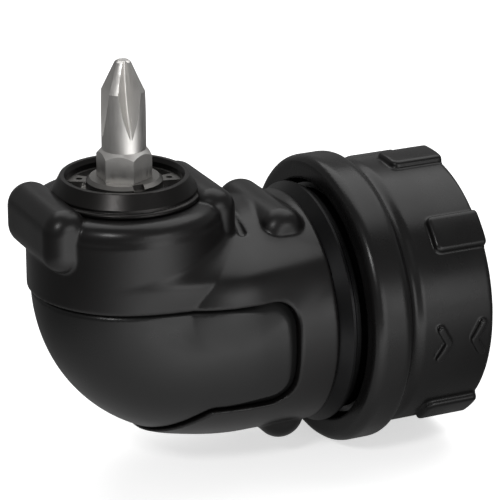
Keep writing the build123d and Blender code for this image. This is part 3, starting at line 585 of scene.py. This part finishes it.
def window(x, z):
    """Distance to the window in the side view, negative inside it."""
    return outline_distance(x, z, window_points)


def cover_field(x, y, z):
    """The cover's shell."""
    x = x - head_x
    form = cover_form(x, y, z)
    shell = np.maximum(form, -(housing_form(x, y, z) + cover_wall))
    nose = np.maximum(np.hypot(x, y) - nose_opening_radius, nose_opening_foot - z)
    shell = common(shell, -nose, nose_edge)
    shell = common(shell, x - neck_end_x, rear_edge)
    return common(shell, -window(x, z), window_edge)


cover = moulded_piece("rubber_cover_skin", cover_field, *cover_net, shell_step, cover_rubber)
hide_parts("rubber_cover")
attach(cover, "housing")

# %% [markdown]
# ## The elbow guard
# The guard is a hard moulded panel that takes the knocks on the outside of the bend. It lies in
# the window, a little below the cover, and its face falls away towards the window's edge. At the
# end next to the collar it does so over a wider strip.

# %% Guard
guard_sink = 0.45             # below the cover, in its middle
guard_fall = 0.55             # further down at its edge
guard_gap = 0.1
guard_slope = 0.7             # width of the strip that falls away
guard_slope_gain = 0.9
guard_gain_span = (8.0, 15.0) # along X, where the strip gets wider
guard_net = ((-62.0, -17.2, -17.2), (-26.5, 17.2, 8.5))


def guard_field(x, y, z):
    """The guard's panel."""
    x = x - head_x
    edge = -window(x, z)
    slope_width = guard_slope + guard_slope_gain * ramp(x, *guard_gain_span)
    sink = guard_sink + guard_fall * (1 - ramp(edge, 0.0, slope_width))
    form = housing_form(x, y, z)
    panel = np.maximum(form + sink, -(form + cover_wall))
    return np.maximum(panel, guard_gap - edge)


guard = moulded_piece("elbow_guard_panel", guard_field, *guard_net, shell_step, guard_nylon)
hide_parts("elbow_guard")
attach(guard, "housing")

# %% [markdown]
# ## The release collar
# The collar is one moulding: a wide flange in front, a waist, and a grip with six pads that the
# fingers turn it by. Two chevrons stand out of the grip. Its outline is spun round the drive
# axis, and pads and chevrons are joined on with small fillets. Inside it has three pockets: a
# twist brings them over the lock balls, which then move out and let go of the drill.

# %% Collar
collar_front = -18.3
collar_rear = -0.1
flange_radius = 19.7
grip_radius = 18.2
waist_radius = 17.6
front_lip_radius = 16.5
front_bore_radius = 17.1
rear_bore_radius = 15.9
bore_radius = 14.64
collar_profile = (            # along X, radius, corner radius
    (collar_front, front_lip_radius, 0.3), (collar_front, flange_radius, 1.3),
    (-13.3, flange_radius, 1.3), (-12.1, waist_radius, 0.9), (-10.6, grip_radius, 1.2),
    (collar_rear, grip_radius, 0.6), (collar_rear, rear_bore_radius, 0.0),
    (-3.25, rear_bore_radius, 0.0), (-3.25, bore_radius, 0.0), (-13.4, bore_radius, 0.0),
    (-13.4, front_bore_radius, 0.3), (-17.0, front_bore_radius, 0.0), (-17.0, front_lip_radius, 0.0),
)
collar_step = 0.25     # cell size of the net for the collar
collar_net = ((-19.0, -20.4, -20.4), (0.6, 20.4, 20.4))
root_depth = 0.6              # how deep pads and chevrons start below the grip's surface
pad_angles = (2.0, 49.0, 138.0, 182.0, 229.0, 318.0)
pad_length = 7.6
pad_overrun = 0.4             # past the rear, where the pad is cut off again
pad_half_width = 2.53
pad_height = 0.85
pad_corner = 1.0
pad_edge = 0.5
pad_rear_edge = 0.4
pad_fillet = 0.25
mark_angle = 95.5
mark_height = 0.6
mark_points = ((-6.6, 1.0), (-3.6, -1.0))      # tip along X, and the way that it points
mark_arm = 2.7
mark_half_angle = 52.0
mark_half_stroke = 0.50
mark_tip_reach = 0.4
mark_edge = 0.1
mark_fillet = 0.06
ball_angles = (60.0, 180.0, 300.0)
ball_x = -7.2
pocket_turn = 30.0            # the collar turns this far to free the balls
pocket_shift = 6.0
pocket_radius = 10.0
pocket_half_width = 1.8
FAR_AWAY = 10.0               # a distance that adds nothing to a blend
collar_outline = rounded_outline(collar_profile, 4)


def about_axis(y, z, angle):
    """Sideways and outward distance in a frame turned about X, from +Z."""
    turn = math.radians(angle)
    return y * math.cos(turn) + z * math.sin(turn), z * math.cos(turn) - y * math.sin(turn)


def collar_field(x, y, z):
    """The collar with its pads, chevrons and the pockets for the lock balls."""
    radius = np.hypot(y, z)
    form = outline_distance(x, radius, collar_outline)
    for angle in pad_angles:
        side, out = about_axis(y, z, angle)
        middle = collar_rear - pad_length / 2 + pad_overrun
        halves = (pad_length / 2 + pad_overrun, pad_half_width)
        sides = round_box((x - middle, side), halves, pad_corner)
        top = radius - grip_radius - pad_height
        pad = common(common(sides, top, pad_edge), x - collar_rear, pad_rear_edge)
        pad = np.maximum(pad, grip_radius - root_depth - radius)
        pad = np.where(out > 0, pad, FAR_AWAY)
        form = blend(form, pad, pad_fillet)
    for angle in ball_angles:
        side, out = about_axis(y, z, angle - pocket_turn)
        pocket = np.hypot(side, out - pocket_shift) - pocket_radius
        form = np.maximum(form, -np.maximum(pocket, np.abs(x - ball_x) - pocket_half_width))
    side, out = about_axis(y, z, mark_angle)
    for tip, way in mark_points:
        arm = math.radians(mark_half_angle)
        back = (tip - way * mark_arm * math.cos(arm), mark_arm * math.sin(arm))
        stroke = round_cone(x, np.abs(side), 0.0, (tip - mark_tip_reach * way, 0.0, 0.0),
                            (*back, 0.0), mark_half_stroke, mark_half_stroke)
        mark = common(stroke, radius - grip_radius - mark_height, mark_edge)
        mark = np.maximum(mark, grip_radius - root_depth - radius)
        mark = np.where(out > 0, mark, FAR_AWAY)
        form = blend(form, mark, mark_fillet)
    return form


collar = moulded_piece("release_collar_grip", collar_field, *collar_net, collar_step, collar_nylon)
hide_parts("release_collar")
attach(collar, "release_collar")

# %% [markdown]
# ## The table
# The object stands on a pale table, as in a small product studio. The camera sees the table
# as white, with the object's shadow on it. What the black skin mirrors, and what lights it from below,
# is a grey table with painted glow: soft glowing spots in front of the object, which are no lamp and
# which the camera never sees. Their painted reflections draw the round form of the elbow.

# %% Table
floor_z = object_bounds()[0].z
floor_half = 3.0              # metres
speckle_mm = 12.0             # size of the faint speckle in the table's white
# Painted glow spots in the table: place along X and Y and reach in metres, and strength.
painted_glow_patches = (
    (-0.035, -0.11, 0.10, 2.2),
    (-0.06, -0.045, 0.08, 0.9),
    (0.02, -0.20, 0.14, 2.6),
)
floor_mesh = bpy.data.meshes.new("floor")
floor_mesh.from_pydata([(-floor_half, -floor_half, floor_z), (floor_half, -floor_half, floor_z),
                        (floor_half, floor_half, floor_z), (-floor_half, floor_half, floor_z)],
                       [], [(0, 1, 2, 3)])
floor = bpy.data.objects.new("floor", floor_mesh)
bpy.context.scene.collection.objects.link(floor)
floor_paint, tree, out = new_material("white_table_with_painted_glow")


def painted_glow_spot(x, y, reach, strength):
    """Soft round spot of painted glow in the table, brightest in its middle."""
    place = add_node(tree, "ShaderNodeNewGeometry").outputs["Position"]
    away = add_node(tree, "ShaderNodeVectorMath", {"operation": "DISTANCE"}, i0=place,
                    i1=(x, y, floor_z))
    fade = add_node(tree, "ShaderNodeMapRange", {"interpolation_type": "SMOOTHSTEP"},
                    Value=away.outputs["Value"], From_Min=0.0, From_Max=reach,
                    To_Min=strength, To_Max=0.0)
    return fade.outputs["Result"]


path = add_node(tree, "ShaderNodeLightPath")
table_place = add_node(tree, "ShaderNodeTexCoord").outputs["Object"]
speckle = add_node(tree, "ShaderNodeTexNoise", Vector=table_place, Scale=per_metre(speckle_mm))
white = add_node(tree, "ShaderNodeMix", {"data_type": "RGBA"}, i0=speckle.outputs["Fac"],
                 i6=linear("#f4f4f4"), i7=linear("#fafafa"))
matt = add_node(tree, "ShaderNodeBsdfDiffuse", Color=white.outputs["Result"])
glow = add_node(tree, "ShaderNodeEmission", Color=(1, 1, 1, 1), Strength=0.6)
bright = add_node(tree, "ShaderNodeAddShader", i0=matt.outputs["BSDF"], i1=glow.outputs["Emission"])
painted_glow_sum = painted_glow_spot(*painted_glow_patches[0])
for patch in painted_glow_patches[1:]:
    both = add_node(tree, "ShaderNodeMath", {"operation": "ADD"}, i0=painted_glow_sum, i1=painted_glow_spot(*patch))
    painted_glow_sum = both.outputs["Value"]
# Only rays that bounce off the object see the grey table and its painted glow; the camera sees it white.
painted_patch_glow = add_node(tree, "ShaderNodeEmission", Strength=painted_glow_sum)
grey = add_node(tree, "ShaderNodeBsdfDiffuse", Color=linear("#7a7a7a"))
reflected_table_painted_glow = add_node(tree, "ShaderNodeAddShader", i0=grey.outputs["BSDF"], i1=painted_patch_glow.outputs["Emission"])
seen = add_node(tree, "ShaderNodeMixShader", i0=path.outputs["Is Camera Ray"],
                i1=reflected_table_painted_glow.outputs["Shader"], i2=bright.outputs["Shader"])
tree.links.new(seen.outputs["Shader"], out.inputs["Surface"])
floor_mesh.materials.append(floor_paint)
print("table at z =", round(floor_z / MM, 2), "mm")

# %% [markdown]
# ## The room and the lamps
# Black rubber shows its form by what it mirrors, so each lamp is placed by the direction in which
# the object sees it: a wide one low in front, a very large soft one above, and a small bright one
# to the left of the camera, which puts the bright points on the round boss ends.

# %% Lamps
world = bpy.data.worlds.new("studio")
bpy.context.scene.world = world
world.use_nodes = True
tree = world.node_tree
tree.nodes.clear()
out = tree.nodes.new("ShaderNodeOutputWorld")
path = add_node(tree, "ShaderNodeLightPath")
room = add_node(tree, "ShaderNodeBackground", Color=(1, 1, 1, 1), Strength=0.27)
backdrop = add_node(tree, "ShaderNodeBackground", Color=(1, 1, 1, 1), Strength=1.0)
seen = add_node(tree, "ShaderNodeMixShader", i0=path.outputs["Is Camera Ray"],
                i1=room.outputs["Background"], i2=backdrop.outputs["Background"])
tree.links.new(seen.outputs["Shader"], out.inputs["Surface"])

lamp_aim = Vector((-0.028, 0.0, 0.0))
# Azimuth and height angle in degrees, distance, width and height in metres, and brightness.
lamps = (
    ("front_light", -75, 8, 0.50, 0.26, 0.22, 3.2),
    ("top_light", 50, 66, 0.55, 0.75, 0.50, 1.9),
    ("spark_light", -135, 37, 0.50, 0.08, 0.08, 30.0),
)


def softbox(name, azimuth, height_angle, distance, width, height, brightness):
    """A rectangular lamp, placed by direction and distance from the object's middle."""
    around, up = math.radians(azimuth), math.radians(height_angle)
    data = bpy.data.lights.new(name, "AREA")
    data.shape = "RECTANGLE"
    data.size = width
    data.size_y = height
    data.energy = brightness * math.pi * width * height
    lamp = bpy.data.objects.new(name, data)
    bpy.context.scene.collection.objects.link(lamp)
    ray = Vector((math.cos(around) * math.cos(up), math.sin(around) * math.cos(up), math.sin(up)))
    lamp.location = lamp_aim + distance * ray
    lamp.rotation_euler = (-ray).to_track_quat("-Z", "Y").to_euler()


for lamp_facts in lamps:
    softbox(*lamp_facts)
print("lamps:", [lamp_facts[0] for lamp_facts in lamps])
